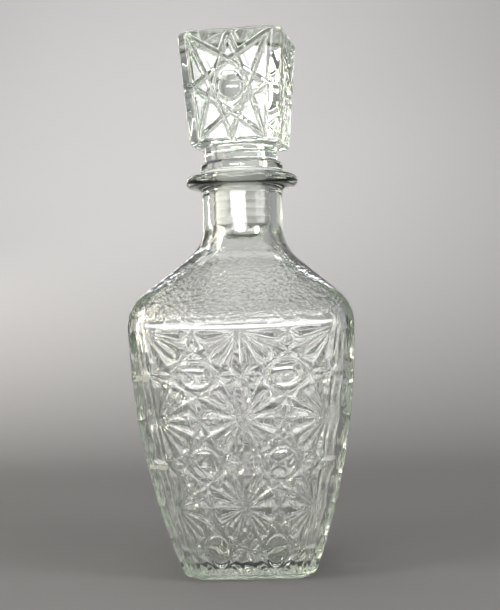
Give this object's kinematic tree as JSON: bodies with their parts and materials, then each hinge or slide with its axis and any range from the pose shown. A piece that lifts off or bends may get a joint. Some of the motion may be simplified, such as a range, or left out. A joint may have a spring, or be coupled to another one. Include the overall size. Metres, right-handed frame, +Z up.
{
  "type": "decanter",
  "caption": "Square pressed-glass decanter with bowed star-cut panels, round neck and a flared square glass stopper on a ribbed seal sleeve.",
  "frame": {"origin": "centre of the flat foot, on the surface the decanter stands on", "axes": "+Z up along the neck, -Y out of the front panel, +X to the front panel's right"},
  "size_m": [0.1072, 0.1072, 0.268],
  "materials": {
    "bottle_glass": "clear pressed soda-lime glass, fire polished, faintly green where thick",
    "stopper_glass": "clear solid pressed glass, fire polished",
    "sleeve_plastic": "translucent milky polyethylene, satin"
  },
  "bodies": {
    "bottle": {"decanter_bottle": "bottle_glass"},
    "sleeve": {"seal_sleeve": "sleeve_plastic"},
    "stopper": {"stopper": "stopper_glass"}
  },
  "joints": [
    {"name": "stopper_lift", "type": "slide", "parent": "bottle", "child": "sleeve", "axis": [0, 0, 1], "range_m": [0, 0.045]},
    {"name": "stopper_turn", "type": "hinge", "parent": "sleeve", "child": "stopper", "pos_m": [0, 0, 0.2], "axis": [0, 0, 1], "continuous": true}
  ]
}
